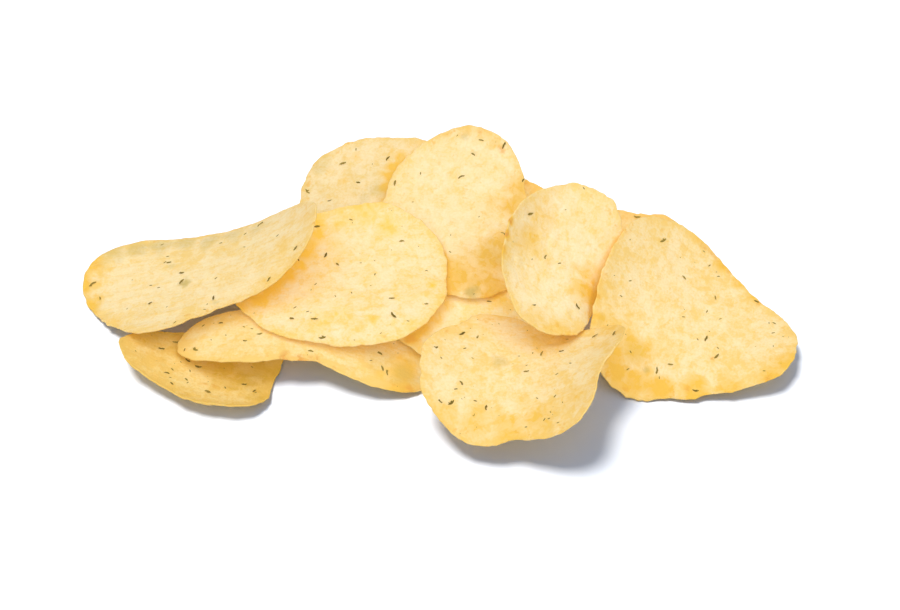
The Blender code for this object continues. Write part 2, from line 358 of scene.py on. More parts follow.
def sheltered(points, tree):
    """How much of the light from above other crisps keep from each point of a grid, from 0 to 1."""
    rng = np.random.default_rng(SHELTER_SEED)
    turn = rng.uniform(0, 2 * np.pi, SHELTER_RAYS)
    tilt = np.sqrt((np.arange(SHELTER_RAYS) + 0.5) / SHELTER_RAYS)
    rays = [Vector((t * math.cos(a), t * math.sin(a), math.sqrt(1 - t * t))) for a, t in zip(turn, tilt)]
    coarse = points[::SHELTER_STEP, ::SHELTER_STEP]
    shade = np.zeros(coarse.shape[:2])
    for i, row in enumerate(coarse):
        for j, place in enumerate(row):
            start = Vector(place * MM) + Vector((0, 0, SHELTER_LIFT * MM))
            hits = (tree.ray_cast(start, ray, SHELTER_REACH * MM)[3] for ray in rays)
            kept_out = (1 - hit / (SHELTER_REACH * MM) for hit in hits if hit is not None)
            shade[i, j] = sum(kept_out) / SHELTER_RAYS
    rough = np.arange(0, GRID + 1, SHELTER_STEP)
    fine = np.arange(GRID + 1)
    shade = np.array([np.interp(fine, rough, line) for line in shade])
    return np.array([np.interp(fine, rough, line) for line in shade.T]).T


def grid_normals(points):
    """Upright directions of a grid of points, from the steps between its neighbours."""
    down = np.gradient(points, axis=0)
    across = np.gradient(points, axis=1)
    normal = np.cross(down, across)
    return normal / np.linalg.norm(normal, axis=2, keepdims=True)


def slice_body(form, seed):
    """The middle of a crisp on the disc grid, with its half thickness thinning to a worn, round rim."""
    share, angle = disc_grid()
    far = form.outline(angle)
    slope = (form.outline(angle + TURN_STEP) - form.outline(angle - TURN_STEP)) / (2 * TURN_STEP)
    far = far - nibbles(angle, far, seed)
    x, y = share * far * np.cos(angle), share * far * np.sin(angle)
    from_rim = (1 - share) * far * far / np.hypot(far, slope)
    upper, lower = form.upper(x, y), form.lower(x, y)
    near_rim = np.clip(1 - from_rim / RIM_TAPER, 0, 1)
    lower = upper - (upper - lower) * (1 - RIM_THINNED * near_rim**1.5)
    middle = np.stack([x, y, (upper + lower) / 2], axis=2)
    normal = grid_normals(middle)
    inner = np.clip(from_rim / RIM_ROUND, 0, 1)
    half = (upper - lower) / 2 * normal[:, :, 2] * np.sqrt(1 - (1 - inner) ** 2)
    return middle, normal, half, from_rim, inner


def skin_relief(x, y, ridges, seed):
    """Heights of one skin's blisters, and of these with its swells and ridges."""
    dome = bubbles(x, y, seed)
    relief = dome
    for order, (size, high) in enumerate(SWELLS):
        relief = relief + high * wander(x, y, size, seed + 1 + order)
    return dome, relief + ridges * wander(x / RIDGE_STRETCH, y, RIDGE_WIDTH, seed + 3)


def grid_faces():
    """Faces of two skins on the grid that share its rim, and which corners the under skin has to itself."""
    across = GRID + 1
    order = np.arange(across * across).reshape(across, across)
    own = np.ones((across, across), bool)
    own[[0, -1], :] = False
    own[:, [0, -1]] = False
    under = order.copy()
    under[own] = across * across + np.arange(own.sum())
    quads = []
    for layer, flip in ((order, False), (under, True)):
        quad = [layer[:-1, :-1], layer[1:, :-1], layer[1:, 1:], layer[:-1, 1:]]
        quad = np.stack(quad, axis=2).reshape(-1, 4)
        quads.append(quad[:, ::-1] if flip else quad)
    return np.concatenate(quads), own.ravel()


def put(mesh, name, kind, values):
    """Gives each corner of a mesh its own value of a named attribute."""
    field = "vector" if kind == "FLOAT_VECTOR" else "value"
    mesh.attributes.new(name, kind, "POINT").data.foreach_set(field, np.asarray(values, np.float32).ravel())


def slice_mesh(form, seed, ridges, gold_and_painted_shade_spots, scorches, stains):
    """Both skins of a crisp on one fine grid, with blisters and ridges, closed by a round rim."""
    middle, normal, half, from_rim, inner = slice_body(form, seed)
    x, y = middle[:, :, 0], middle[:, :, 1]
    tree = others_tree(form.name)
    skins, raised = [], []
    for side in (1, -1):
        dome, relief = skin_relief(x, y, ridges, seed + 20 * (side + 1))
        bare = form.world((middle + normal * (side * half)[:, :, None]).reshape(-1, 3))
        room = room_beside(bare, tree).reshape(x.shape) - CLEAR
        relief = np.minimum(relief, np.maximum(room, 0)) * inner
        moved = middle + normal * (side * (half + relief))[:, :, None]
        skins.append(form.world(moved.reshape(-1, 3)) * MM)
        raised.append(dome * inner)
    faces, kept = grid_faces()
    corners = np.clip(np.concatenate([skins[0], skins[1][kept]]), np.array(cad_low), np.array(cad_high))
    mesh = bpy.data.meshes.new(form.name + "_slice")
    mesh.from_pydata(corners.tolist(), [], faces.tolist())
    mesh.update()
    flat = np.stack([x.ravel(), y.ravel(), np.zeros(x.size)], axis=1)
    put(mesh, "flat", "FLOAT_VECTOR", np.concatenate([flat, flat[kept] + (0, 0, UNDER_PATTERN_SHIFT)]))
    scorch, stain = painted(x, y, scorches, seed + 60), painted(x, y, stains, seed + 60)
    # Deep gold spots: partly the crisp's own gold, partly painted shade in crevices and under other crisps.
    glow = painted(x, y, gold_and_painted_shade_spots, seed + 70)
    # The shade other crisps cast on the upper skin, measured here and painted as deeper gold in its colour.
    lit = form.world((middle + normal * half[:, :, None]).reshape(-1, 3)).reshape(middle.shape)
    shade = sheltered(lit, tree)
    everywhere, nowhere = np.ones_like(x), np.zeros_like(x)
    for name, above, below in (
        ("from_rim", from_rim, from_rim),
        ("raised", raised[0], raised[1]),
        ("scorch", scorch, scorch),
        ("stain", stain, stain),
        ("shaded", shade, nowhere),
        ("glow", glow, glow),
        ("upper", everywhere, nowhere),
    ):
        put(mesh, name, "FLOAT", np.concatenate([above.ravel(), below.ravel()[kept]]))
    mesh.shade_smooth()
    return mesh


def node(tree, kind, inputs=None, **settings):
    """Adds a shader or geometry node, with its settings and what its sockets hold or are fed by."""
    made = tree.nodes.new(kind)
    for name, value in settings.items():
        setattr(made, name, value)
    for socket, value in (inputs or {}).items():
        if isinstance(value, bpy.types.NodeSocket):
            tree.links.new(value, made.inputs[socket])
        else:
            made.inputs[socket].default_value = value
    return made


def share_of(tree, value, low, high, top=1.0):
    """Where a value lies between two limits, as a soft step from 0 to top."""
    limits = {"Value": value, "From Min": low, "From Max": high, "To Max": top}
    return node(tree, "ShaderNodeMapRange", limits, interpolation_type="SMOOTHSTEP").outputs["Result"]


def times(tree, first, second):
    """The product of two values of a node tree."""
    return node(tree, "ShaderNodeMath", {0: first, 1: second}, operation="MULTIPLY").outputs[0]


def plus(tree, first, second):
    """The sum of two values of a node tree."""
    return node(tree, "ShaderNodeMath", {0: first, 1: second}, operation="ADD").outputs[0]


def blend_colour(tree, share, under, over):
    """One colour laid over another by a share from 0 to 1."""
    made = node(tree, "ShaderNodeMix", data_type="RGBA", clamp_factor=True)
    for socket, value in (("Factor_Float", share), ("A_Color", under), ("B_Color", over)):
        target = next(s for s in made.inputs if s.identifier == socket)
        if isinstance(value, bpy.types.NodeSocket):
            tree.links.new(value, target)
        else:
            target.default_value = value
    return next(s for s in made.outputs if s.identifier == "Result_Color")


def unevenness(tree, place, scale, detail=3.0, roughness=0.55, distortion=0.0):
    """Soft unevenness from 0 to 1, with about this many bumps to each unit of the place."""
    return node(tree, "ShaderNodeTexNoise", {"Vector": place, "Scale": scale, "Detail": detail,
                "Roughness": roughness, "Distortion": distortion}).outputs["Fac"]


# The skin's inputs. The shade other crisps cast, the deep gold spots and the deep gold colour paint shade
# into the skin's colour; the spots and the colour also give the crisp its own deep gold.
SKIN_INPUTS = (
    ("Flat", "NodeSocketVector", (0, 0, 0)),
    ("From Rim", "NodeSocketFloat", 0),
    ("Raised", "NodeSocketFloat", 0),
    ("Scorch", "NodeSocketFloat", 0),
    ("Stain", "NodeSocketFloat", 0),
    ("Shaded", "NodeSocketFloat", 0),
    ("Glow", "NodeSocketFloat", 0),
    ("Pale", "NodeSocketColor", (0.95, 0.76, 0.4, 1)),
    ("Gold", "NodeSocketColor", (0.9, 0.6, 0.2, 1)),
    ("Amber", "NodeSocketColor", (0.91, 0.54, 0.075, 1)),
    ("Toast", "NodeSocketColor", (0.8, 0.36, 0.07, 1)),
    ("Olive", "NodeSocketColor", (0.60, 0.44, 0.14, 1)),
    ("Mottling", "NodeSocketFloat", 0.7),
    ("Streaks", "NodeSocketFloat", 0.12),
    ("Rim Gold", "NodeSocketFloat", 0.6),
    ("Shelter Gold", "NodeSocketFloat", 0.65),
    ("Greenness", "NodeSocketFloat", 0.0),
    ("Shift", "NodeSocketFloat", 0.0),
)
SKIN_OUTPUTS = (("Color", "NodeSocketColor"), ("Roughness", "NodeSocketFloat"), ("Height", "NodeSocketFloat"))

BROAD_PER_MM = 0.07
PATCHES_PER_MM = 0.12
SPOTS_PER_MM = 0.33
MOTTLE_PER_MM = 0.42
RAGGED_PER_MM = 0.5
DENTS_PER_MM = 0.55
STREAKS_PER_MM = 0.75
GRAIN_PER_MM = 1.4
STREAK_STRETCH = (0.13, 1, 1)
CELL_WARP = (3.0, 3.0, 0)
RIM_RAGGED = -4.0


def skin_patterns(tree, place):
    """The uneven patterns of a fried skin, from its broad patches down to its grain."""
    drawn = node(tree, "ShaderNodeVectorMath", {0: place, 1: STREAK_STRETCH}, operation="MULTIPLY").outputs[0]
    warp = node(tree, "ShaderNodeTexNoise", {"Vector": place, "Scale": RAGGED_PER_MM, "Detail": 2.0})
    warp = node(tree, "ShaderNodeVectorMath", {0: warp.outputs["Color"], 1: CELL_WARP}, operation="MULTIPLY")
    warped = node(tree, "ShaderNodeVectorMath", {0: place, 1: warp.outputs[0]}, operation="ADD").outputs[0]
    cells = node(tree, "ShaderNodeTexVoronoi", {"Vector": warped, "Scale": MOTTLE_PER_MM},
                 feature="SMOOTH_F1").outputs["Distance"]
    spots = unevenness(tree, place, SPOTS_PER_MM, detail=5.0, roughness=0.65)
    mottle = unevenness(tree, place, MOTTLE_PER_MM, detail=4.0, distortion=0.5)
    return {
        "broad": unevenness(tree, place, BROAD_PER_MM, detail=1.0),
        "patches": share_of(tree, unevenness(tree, place, PATCHES_PER_MM, distortion=0.8), 0.44, 0.58),
        "spots": share_of(tree, spots, 0.57, 0.68),
        "mottle": share_of(tree, mottle, 0.46, 0.62),
        "cells": share_of(tree, cells, 0.3, 0.75),
        "ragged": unevenness(tree, place, RAGGED_PER_MM),
        "dents": unevenness(tree, place, DENTS_PER_MM),
        "streak": share_of(tree, unevenness(tree, drawn, STREAKS_PER_MM, detail=4.0), 0.48, 0.64),
        "grain": unevenness(tree, place, GRAIN_PER_MM, detail=2.0),
    }


def gold_share(tree, given, seen, rim):
    """Where the skin fried from pale to gold: in patches, mottles, cells and streaks, and at its rim."""
    amount = plus(tree, times(tree, seen["patches"], 0.5), times(tree, seen["mottle"], 0.55))
    amount = plus(tree, amount, times(tree, share_of(tree, seen["grain"], 0.42, 0.62), 0.4))
    amount = plus(tree, amount, times(tree, seen["cells"], share_of(tree, seen["broad"], 0.4, 0.6, 0.6)))
    amount = times(tree, amount, given["Mottling"])
    amount = plus(tree, amount, times(tree, seen["streak"], given["Streaks"]))
    return plus(tree, amount, times(tree, rim, given["Rim Gold"]))


def amber_and_painted_shade_share(tree, given, seen, edge):
    """Deeper gold: painted shade under other crisps, its very edge, deep spots partly painted shade, and
    small spots.
    """
    painted_shade_under_others = times(tree, share_of(tree, given["Shaded"], 0.08, 0.5), given["Shelter Gold"])
    amount = plus(tree, painted_shade_under_others, times(tree, edge, 0.22))
    lively = plus(tree, times(tree, seen["mottle"], 0.35), 0.8)
    amount = plus(tree, amount, times(tree, given["Glow"], lively))
    return plus(tree, amount, times(tree, seen["spots"], 0.4))


def toast_share(tree, given, seen, rim):
    """Where it scorched: in specks at the rim, in its own scorched spots and on its blisters."""
    broken = share_of(tree, seen["mottle"], 0.0, 0.7)
    amount = times(tree, times(tree, rim, seen["spots"]), 0.3)
    amount = plus(tree, amount, times(tree, given["Scorch"], plus(tree, times(tree, broken, 0.7), 0.3)))
    on_blisters = times(tree, share_of(tree, given["Raised"], 0.12, 0.4), times(tree, seen["mottle"], 0.25))
    return plus(tree, amount, on_blisters)


def green_share(tree, given, seen):
    """Where potato from under the peel, and damp herb, left an olive tint."""
    amount = times(tree, share_of(tree, seen["broad"], 0.3, 0.7), given["Greenness"])
    amount = plus(tree, amount, times(tree, given["Greenness"], 0.3))
    return plus(tree, amount, times(tree, given["Stain"], plus(tree, times(tree, seen["grain"], 0.6), 0.5)))


def fried_skin_group():
    """Skin of a fried slice: pale cream, mottled with gold, browner at its rim and blisters, deep gold in
    painted shade.
    """
    tree = bpy.data.node_groups.new("fried_skin", "ShaderNodeTree")
    for name, kind, value in SKIN_INPUTS:
        tree.interface.new_socket(name, in_out="INPUT", socket_type=kind).default_value = value
    for name, kind in SKIN_OUTPUTS:
        tree.interface.new_socket(name, in_out="OUTPUT", socket_type=kind)
    given = node(tree, "NodeGroupInput").outputs
    shifted = node(tree, "ShaderNodeCombineXYZ", {"X": given["Shift"], "Y": given["Shift"]}).outputs[0]
    place = node(tree, "ShaderNodeVectorMath", {0: given["Flat"], 1: shifted}, operation="ADD").outputs[0]
    seen = skin_patterns(tree, place)
    ragged = plus(tree, given["From Rim"], times(tree, seen["ragged"], RIM_RAGGED))
    rim, edge = share_of(tree, ragged, 2.6, -1.6), share_of(tree, ragged, 0.2, -2.0)
    colour = blend_colour(tree, gold_share(tree, given, seen, rim), given["Pale"], given["Gold"])
    # Deeper gold, partly the crisp's own and partly painted shade under other crisps and in their crevices.
    colour = blend_colour(tree, amber_and_painted_shade_share(tree, given, seen, edge), colour, given["Amber"])
    colour = blend_colour(tree, toast_share(tree, given, seen, rim), colour, given["Toast"])
    colour = blend_colour(tree, green_share(tree, given, seen), colour, given["Olive"])
    rough = plus(tree, times(tree, seen["grain"], 0.25), 0.42)
    high = plus(tree, times(tree, seen["grain"], 0.6), times(tree, seen["dents"], 0.8))
    high = plus(tree, high, times(tree, seen["streak"], given["Streaks"]))
    node(tree, "NodeGroupOutput", {"Color": colour, "Roughness": rough, "Height": high})
    return tree


fried_skin = fried_skin_group()

SKIN_DENT = 0.14
SKIN_DENT_STRENGTH = 0.8
SKIN_SHINE = 0.3
SKIN_GLOW = 0.15
SKIN_GLOW_DEPTH = 0.7
SKIN_GLOW_SPREAD = (1.0, 0.8, 0.4)


def socket_name(name):
    """What the skin's socket for a value of this name is called."""
    return name.replace("_", " ").title()


def slice_material(name, **finish):
    """A crisp's own fried finish: the shared skin with its own tones and amounts."""
    look = bpy.data.materials.new(name + "_fried_potato")
    look.use_nodes = True
    tree = look.node_tree
    skin = node(tree, "ShaderNodeGroup", node_tree=fried_skin)
    for attribute in ("flat", "from_rim", "raised", "scorch", "stain", "shaded", "glow"):
        held = node(tree, "ShaderNodeAttribute", attribute_name=attribute, attribute_type="GEOMETRY")
        held = held.outputs["Vector" if attribute == "flat" else "Fac"]
        tree.links.new(held, skin.inputs[socket_name(attribute)])
    for name, value in finish.items():
        skin.inputs[socket_name(name)].default_value = value
    shader = tree.nodes["Principled BSDF"]
    relief = node(tree, "ShaderNodeBump", {"Height": skin.outputs["Height"], "Strength": SKIN_DENT_STRENGTH,
                                           "Distance": SKIN_DENT * MM})
    tree.links.new(skin.outputs["Color"], shader.inputs["Base Color"])
    tree.links.new(skin.outputs["Roughness"], shader.inputs["Roughness"])
    tree.links.new(relief.outputs["Normal"], shader.inputs["Normal"])
    shader.inputs["Specular IOR Level"].default_value = SKIN_SHINE
    shader.inputs["Subsurface Weight"].default_value = SKIN_GLOW
    shader.inputs["Subsurface Radius"].default_value = SKIN_GLOW_SPREAD
    shader.inputs["Subsurface Scale"].default_value = SKIN_GLOW_DEPTH * MM
    return look


herb_leaves = bmesh.new()
herb_tone = herb_leaves.verts.layers.float.new("tone")


def add_leaves(form, seed):
    """Dried leaf on a crisp: a ragged sliver on each fused flake, with up to two scraps across it."""
    rng = np.random.default_rng(seed)
    for middle, ahead, length, width in form.herbs:
        side = np.cross((0, 0, 1), ahead)
        long, wide = length * rng.uniform(0.62, 0.85), width * rng.uniform(0.45, 0.65)
        add_sliver(form, rng, middle, ahead, side, long, wide)
        for _ in range(rng.integers(0, 3)):
            turn = rng.uniform(-1.2, 1.2)
            aside = ahead * math.cos(turn) + side * math.sin(turn)
            place = middle + ahead * (rng.uniform(-0.3, 0.3) * length)
            across = np.cross((0, 0, 1), aside)
            add_sliver(form, rng, place, aside, across, width * rng.uniform(0.7, 1.1), SCRAP_WIDTH)


def add_sliver(form, rng, middle, ahead, side, length, width):
    """One thin, curled sliver of leaf with an uneven outline, lying on the skin."""
    tone, curl, twist = rng.uniform(0, 1), rng.uniform(-1, 1) * HERB_CURL, rng.uniform(-1, 1) * HERB_CURL
    bow = rng.uniform(-1, 1) * HERB_BOW * length
    layers = []
    edge = [rng.uniform(0.55, 1.1, HERB_COLUMNS + 1) for _ in range(2)]
    for level in (HERB_LIFT + HERB_THICK, HERB_LIFT):
        sheet = []
        for i in range(HERB_COLUMNS + 1):
            run = 2 * i / HERB_COLUMNS - 1
            row = []
            for j in range(HERB_ROWS + 1):
                over = 2 * j / HERB_ROWS - 1
                wide = width / 2 * (1 - abs(run) ** 3) * edge[int(over > 0)][i] + HERB_STALK
                flat = middle + ahead * (run * length / 2) + side * (over * wide + bow * (1 - run * run))
                lift = level + curl * (run * run - 0.3) + twist * run * over
                ground = form.upper(np.array([flat[0]]), np.array([flat[1]]))[0]
                place = form.world(np.array([flat[0], flat[1], ground + lift]))
                vert = herb_leaves.verts.new(Vector(place) * MM)
                vert[herb_tone] = tone
                row.append(vert)
            sheet.append(row)
        layers.append(sheet)
    close_sheet(layers)


def close_sheet(layers):
    """Faces of a thin sheet with an upper and a lower side, and the narrow wall round it."""
    top, bottom = layers
    rows, columns = len(top) - 1, len(top[0]) - 1
    for i in range(rows):
        for j in range(columns):
            herb_leaves.faces.new((top[i][j], top[i + 1][j], top[i + 1][j + 1], top[i][j + 1]))
            herb_leaves.faces.new((bottom[i][j], bottom[i][j + 1], bottom[i + 1][j + 1], bottom[i + 1][j]))
    ring = [(i, 0) for i in range(rows)] + [(rows, j) for j in range(columns)]
    ring += [(i, columns) for i in range(rows, 0, -1)] + [(0, j) for j in range(columns, 0, -1)]
    for (i, j), (k, m) in zip(ring, ring[1:] + ring[:1]):
        herb_leaves.faces.new((top[i][j], bottom[i][j], bottom[k][m], top[k][m]))


def dust_tree():
    """Scatters specks of crushed leaf over the upper skin of a crisp, thicker in some places than others."""
    tree = bpy.data.node_groups.new("herb_dust", "GeometryNodeTree")
    tree.interface.new_socket("Geometry", in_out="INPUT", socket_type="NodeSocketGeometry")
    for name, kind, value in (
        ("Specks per Square Metre", "NodeSocketFloat", 20000.0),
        ("Longest", "NodeSocketFloat", SPECK_LONGEST * MM),
        ("Seed", "NodeSocketInt", 1),
    ):
        tree.interface.new_socket(name, in_out="INPUT", socket_type=kind).default_value = value
    tree.interface.new_socket("Finish", in_out="INPUT", socket_type="NodeSocketMaterial")
    tree.interface.new_socket("Geometry", in_out="OUTPUT", socket_type="NodeSocketGeometry")
    given = node(tree, "NodeGroupInput").outputs
    upper, inside = (node(tree, "GeometryNodeInputNamedAttribute", {"Name": name}, data_type="FLOAT")
                     .outputs["Attribute"] for name in ("upper", "from_rim"))
    clear = node(tree, "ShaderNodeMath", {0: inside, 1: SPECKS_FROM_RIM}, operation="GREATER_THAN").outputs[0]
    cluster = node(tree, "ShaderNodeTexNoise", {"Scale": CLUSTERS_PER_METRE, "Detail": 2.0}).outputs["Fac"]
    cluster = share_of(tree, cluster, 0.35, 0.68, 2.4)
    density = times(tree, given["Specks per Square Metre"], times(tree, cluster, times(tree, upper, clear)))
    spread = node(tree, "GeometryNodeDistributePointsOnFaces",
                  {"Mesh": given["Geometry"], "Density": density, "Seed": given["Seed"]})
    fleck = node(tree, "GeometryNodeMeshIcoSphere", {"Radius": 0.5, "Subdivisions": 1}).outputs["Mesh"]
    small = node(tree, "ShaderNodeVectorMath", {0: SPECK_SMALL}, operation="SCALE")
    large = node(tree, "ShaderNodeVectorMath", {0: SPECK_LARGE}, operation="SCALE")
    tree.links.new(given["Longest"], small.inputs["Scale"])
    tree.links.new(given["Longest"], large.inputs["Scale"])
    dice = node(tree, "FunctionNodeRandomValue", {"Seed": given["Seed"]}, data_type="FLOAT").outputs["Value"]
    chance = node(tree, "ShaderNodeMath", {0: dice, 1: SPECK_RARELY_LARGE}, operation="POWER").outputs[0]
    size = node(tree, "ShaderNodeMix", data_type="VECTOR", clamp_factor=True)
    for socket, value in (("Factor_Float", chance), ("A_Vector", small.outputs[0]),
                          ("B_Vector", large.outputs[0])):
        tree.links.new(value, next(s for s in size.inputs if s.identifier == socket))
    size = next(s for s in size.outputs if s.identifier == "Result_Vector")
    turn = node(tree, "ShaderNodeCombineXYZ", {"Z": times(tree, dice, math.tau)}).outputs[0]
    laid = node(tree, "GeometryNodeInstanceOnPoints",
                {"Points": spread.outputs["Points"], "Instance": fleck,
                 "Rotation": spread.outputs["Rotation"], "Scale": size}).outputs["Instances"]
    laid = node(tree, "GeometryNodeRotateInstances", {"Instances": laid, "Rotation": turn})
    real = node(tree, "GeometryNodeRealizeInstances", {"Geometry": laid.outputs["Instances"]})
    real = real.outputs["Geometry"]
    ends = node(tree, "GeometryNodeSetMaterial", {"Geometry": real, "Material": given["Finish"]})
    node(tree, "NodeGroupOutput", {"Geometry": ends.outputs["Geometry"]})
    return tree


herb_dust = dust_tree()
dust_mesh = bmesh.new()


def add_dust(crisp, seed, per_square_metre):
    """Specks of herb on one crisp, made real and joined with those of the others."""
    carrier = bpy.data.objects.new("dust_carrier", crisp.data)
    bpy.context.scene.collection.objects.link(carrier)
    spread = carrier.modifiers.new("herb_dust", "NODES")
    spread.node_group = herb_dust
    values = {"Specks per Square Metre": float(per_square_metre), "Seed": seed, "Longest": SPECK_LONGEST * MM}
    for item in herb_dust.interface.items_tree:
        if item.in_out == "INPUT" and item.name in values:
            spread[item.identifier] = values[item.name]
    ready = carrier.evaluated_get(bpy.context.evaluated_depsgraph_get())
    specks = bpy.data.meshes.new_from_object(ready)
    dust_mesh.from_mesh(specks)
    bpy.data.objects.remove(carrier)
    bpy.data.meshes.remove(specks)


def dress(name, seed, herbs, ridges=0.02, gold_and_painted_shade_spots=(), scorches=(), stains=(), **finish):
    """A finished crisp in the place of its solid, with its leaves and dust of herb."""
    form = Slice(name)
    mesh = slice_mesh(form, seed, ridges, gold_and_painted_shade_spots, scorches, stains)
    crisp = bpy.data.objects.new(name + "_slice", mesh)
    bpy.context.scene.collection.objects.link(crisp)
    crisp.data.materials.append(slice_material(name, shift=seed * PATTERN_SHIFT_PER_SEED, **finish))
    add_leaves(form, seed)
    add_dust(crisp, seed, herbs)
    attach(crisp, "root")
    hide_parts(name)


dress("left_front_crisp", 11, 34000, pale=(0.94, 0.69, 0.29, 1), gold=(0.88, 0.56, 0.14, 1), mottling=0.8,
      amber=(0.72, 0.43, 0.05, 1),
      gold_and_painted_shade_spots=((15, 4, 5, 0.8), (11, -1, 5, 0.7), (5, 2, 4, 0.6), (16, -6, 3, 0.5), (3.5, -5, 1.6, 0.3)),
      scorches=((1.5, -5.5, 1.1, 0.25), (4, -5.2, 1.1, 0.3), (6.5, -4.8, 1.1, 0.3), (-11, 9.5, 1.2, 0.45)),
      stains=((13, 1, 5, 0.25),))


# Long crisp under the middle
# A narrow slice of fried potato lying on the left front crisp, its straight front rim toward the viewer.
# That rim is scorched near its middle, and its right end, under the heap, is painted a deep gold for its
# shade.

dress("long_under_crisp", 12, 26000, pale=(0.96, 0.75, 0.39, 1), gold=(0.93, 0.63, 0.2, 1), streaks=0.25,
      amber=(0.93, 0.58, 0.1, 1), shelter_gold=0.2,
      gold_and_painted_shade_spots=((29, 1, 4, 0.3), (27, -4.5, 4, 1.3), (28, -10, 4, 1.2), (22, -7.5, 2.6, 0.7)),
      scorches=((-4, -10.8, 2, 0.9), (0, -10.4, 1.8, 0.9), (3.2, -9.8, 1.8, 0.9), (29.5, -9.2, 1.6, 0.5)),
      stains=((19.5, -3.5, 4, 0.3), (27, -5, 3.5, 0.5)))


# Back crisp under the heap
# A slice of fried potato, mostly covered by those that fell on it.
# Its far rim shows between the tall and the upright crisp.

dress("back_under_crisp", 13, 16000, pale=(0.96, 0.73, 0.34, 1), gold=(0.92, 0.59, 0.16, 1))


# Right crisp under the heap
# A slice of fried potato, mostly covered by those that fell on it.
# A strip of its far rim shows behind the large crisp at the right.

dress("right_under_crisp", 14, 16000, pale=(0.95, 0.73, 0.36, 1), gold=(0.91, 0.59, 0.18, 1))


# Middle crisp under the heap
# A slightly domed slice of fried potato in the heart of the heap, close under the tall crisp's near end.
# It shows only in the gap between four others. It is painted paler than the rest for the light they keep from
# it, and its deep gold spots are partly painted shade.

dress("middle_under_crisp", 15, 16000, pale=(0.98, 0.83, 0.54, 1), gold=(0.97, 0.72, 0.28, 1),
      amber=(0.94, 0.6, 0.1, 1), shelter_gold=0.25,
      gold_and_painted_shade_spots=((8, -1, 3.5, 0.8), (11, -3, 3, 0.8), (-6, -3.5, 2.5, 0.5), (-9.5, -8, 2.8, 0.6),
             (-13, -11, 3, 1.1), (-15.5, -13.5, 2.5, 1.1), (-6.5, 0, 2.5, 0.6)),
      scorches=((-16, -14, 1.5, 0.35),))


# Back left crisp
# A broad slice of fried potato leaning at the back of the heap.
# It was cut from under the skin, which left a greenish grey tint on it in places. Beside the tall crisp
# it is painted a deep gold for the shade in the crevice.

dress("back_left_crisp", 16, 6000, pale=(0.94, 0.76, 0.48, 1), gold=(0.88, 0.62, 0.24, 1), greenness=0.12,
      rim_gold=0.3,
      gold_and_painted_shade_spots=((2.5, 3, 2.2, 1.0), (2.7, 6.5, 2.2, 1.1), (2.8, 10, 2.2, 1.1), (3.2, 14, 2.2, 1.0),
             (-9.5, 11, 1.8, 0.5), (-10.5, 2.5, 1.4, 0.4), (-16, 5, 1.4, 0.35)),
      stains=((-19, 6, 3, 0.35), (0, 1, 3, 0.4), (-2, -2, 2.5, 0.35)))


# Tall crisp at the back
# A large smooth slice of fried potato that rises toward the back, palest in its middle.
# It browned at its far rim, and is painted a deep gold for the shade at its low end and where it bends down
# behind the upright crisp.

dress("back_tall_crisp", 17, 6000, pale=(0.97, 0.79, 0.50, 1), gold=(0.93, 0.65, 0.24, 1), mottling=0.55,
      amber=(0.86, 0.51, 0.08, 1), rim_gold=0.3,
      gold_and_painted_shade_spots=((-17, -11, 6, 0.95), (-10, -13, 5, 1.1), (-24, -10, 5, 0.8), (3, -14, 4.5, 1.0),
             (9, -14, 4, 0.8), (-16, -2, 4, 0.3), (24.5, 8.5, 2.5, 0.35), (26, 3, 2.5, 0.4),
             (26, -2, 2.5, 0.4), (23, -6, 2, 0.5), (-26, -12.5, 4.5, 1.1), (-26, -7.5, 4.5, 0.9),
             (-25, -2.5, 4.5, 1.1), (-21.5, 0, 4.5, 0.9), (-28.5, -1.5, 3.5, 1.0), (-30, -12, 3.5, 0.9),
             (-20, -6, 4.5, 0.6), (6, -15, 2.6, 1.0), (12, -13.5, 2.6, 0.6)),
      scorches=((21, -8, 1.1, 0.6), (26.5, -1, 1, 0.4)),
      stains=((24, 3, 1.2, 0.55), (19, -0.5, 0.8, 0.5), (-30.2, -7, 2.1, 1.0), (-14, -12, 5, 0.2)))


# Large crisp at the right
# The largest slice of fried potato on the right, cupped along its length, under the front crisp's arm.
# It browned along its far rim and its right end, and is painted a deep gold for the shade beside the front
# crisp.

dress("right_large_crisp", 18, 15000, pale=(0.97, 0.77, 0.46, 1), gold=(0.93, 0.63, 0.21, 1), rim_gold=0.3,
      shelter_gold=0.4,
      gold_and_painted_shade_spots=((-13.5, 11.5, 4.5, 1.1), (-17, 17, 4.5, 1.1), (-11, 16, 4, 0.7), (-20, -7, 4.2, 1.1),
             (-22, 2, 4.4, 1.2), (-22, 9, 3.8, 1.1), (-20.5, 14.5, 3.4, 1.3), (-7, -28, 4, 0.9),
             (-12, -25, 4, 0.9), (-17, -15, 3.6, 0.8), (0, 24.5, 3, 0.3), (-4.5, 22.5, 3, 0.4),
             (-10, 22.5, 3.5, 0.8), (23.5, -5.5, 2.6, 1.1), (28.5, 3, 2.6, 0.5), (15.5, -16, 2.6, 0.7),
             (19.5, -11, 2.5, 0.7)),
      scorches=((27, 1, 1.4, 0.5), (26, -2, 1.2, 0.5), (24, -5, 1.2, 0.4), (23, -8, 1.1, 0.45),
                (14, -17.5, 0.9, 0.4), (-13, -24.5, 1, 0.5), (-20.5, -5, 0.9, 0.5), (-9, -9, 0.5, 0.8)),
      stains=((-18, 7, 0.9, 0.6), (-14, 11, 4, 0.2)))


# Front crisp
# A saddle-shaped slice of fried potato nearest the viewer, its right arm over the large crisp.
# Its lower half is mottled with gold, and it is painted a deep gold for the shade under the upright crisp.

